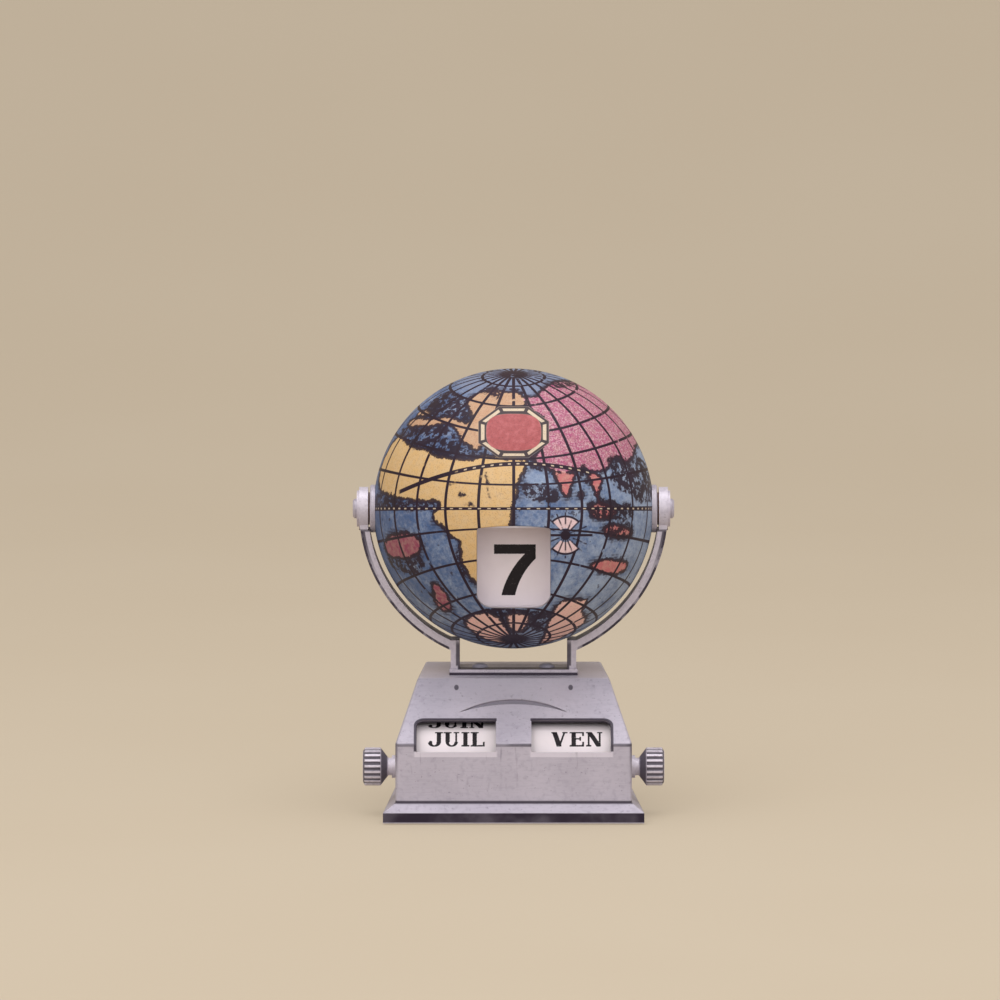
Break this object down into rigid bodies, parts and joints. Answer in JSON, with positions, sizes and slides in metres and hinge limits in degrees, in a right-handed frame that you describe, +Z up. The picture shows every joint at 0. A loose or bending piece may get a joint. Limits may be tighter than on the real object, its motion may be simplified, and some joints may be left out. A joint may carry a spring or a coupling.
{
  "type": "perpetual desk calendar",
  "caption": "Perpetual desk calendar: a pivoting globe whose window shows the day card, in a yoke on a base with month and weekday rollers turned by side knobs.",
  "frame": {"origin": "on the table, under the middle of the globe", "axes": "+Z up, dates face -Y, the knobs and the globe's pivot line lie along X"},
  "size_m": [0.071, 0.062, 0.0977],
  "materials": {
    "pressed_metal": "satin, pressed sheet with a silver-grey lacquer",
    "plate_steel": "matt zinc plated",
    "spring_steel": "bright spring strip",
    "pad_rubber": "matt",
    "screw_steel": "zinc plated",
    "rivet_metal": "bright",
    "turned_steel": "polished",
    "bush_brass": "turned",
    "hub_metal": "satin turned",
    "knob_metal": "satin, fluted rim",
    "drum_plastic": "matt moulding",
    "label_paper": "printed band",
    "globe_tin": "lithographed tinplate, satin varnish",
    "ring_plastic": "matt moulding",
    "washer_fibre": "vulcanised fibre",
    "magazine_plastic": "matt moulding",
    "frame_plastic": "glossy moulding",
    "card_plastic": "printed plastic card"
  },
  "bodies": {
    "base": {"base_housing": "pressed_metal", "bottom_plate": "plate_steel", "foot_pads": "pad_rubber", "bottom_screws": "screw_steel", "center_bracket": "plate_steel", "bracket_rivets": "rivet_metal", "month_detent_spring": "spring_steel", "weekday_detent_spring": "spring_steel", "spring_rivets": "rivet_metal", "month_bushing": "bush_brass", "weekday_bushing": "bush_brass", "yoke_strap": "pressed_metal", "yoke_rivets": "rivet_metal", "left_pivot_pin": "turned_steel", "right_pivot_pin": "turned_steel", "left_pivot_washer": "washer_fibre", "right_pivot_washer": "washer_fibre"},
    "globe": {"globe_front_shell": "globe_tin", "globe_rear_shell": "globe_tin", "globe_joining_ring": "ring_plastic", "left_hub": "hub_metal", "right_hub": "hub_metal", "left_hub_nut": "bush_brass", "right_hub_nut": "bush_brass", "carrier_plate": "plate_steel", "magazine_case": "magazine_plastic", "magazine_cover": "magazine_plastic", "magazine_screws": "screw_steel", "window_frame": "frame_plastic", "lower_date_cards": "card_plastic", "upper_date_cards": "card_plastic"},
    "month_roller": {"month_shaft": "turned_steel", "month_drum": "drum_plastic", "month_label_band": "label_paper", "month_index_wheel": "drum_plastic", "month_knob": "knob_metal"},
    "weekday_roller": {"weekday_shaft": "turned_steel", "weekday_drum": "drum_plastic", "weekday_label_band": "label_paper", "weekday_index_wheel": "drum_plastic", "weekday_knob": "knob_metal"},
    "front_card": {"front_date_card": "card_plastic"},
    "rear_card": {"rear_date_card": "card_plastic"}
  },
  "joints": [
    {"name": "globe_spin", "type": "hinge", "parent": "base", "child": "globe", "pos_m": [0, 0, 0.0667], "axis": [1, 0, 0], "continuous": true},
    {"name": "month_turn", "type": "hinge", "parent": "base", "child": "month_roller", "pos_m": [-0.0126, -0.0122, 0.0108], "axis": [1, 0, 0], "continuous": true},
    {"name": "weekday_turn", "type": "hinge", "parent": "base", "child": "weekday_roller", "pos_m": [0.0126, -0.0122, 0.0108], "axis": [1, 0, 0], "continuous": true},
    {"name": "front_card_slide", "type": "slide", "parent": "globe", "child": "front_card", "axis": [0, 0, 1], "range_m": [0, 0.0205]},
    {"name": "rear_card_slide", "type": "slide", "parent": "globe", "child": "rear_card", "axis": [0, 0, 1], "range_m": [0, 0.0205]}
  ]
}
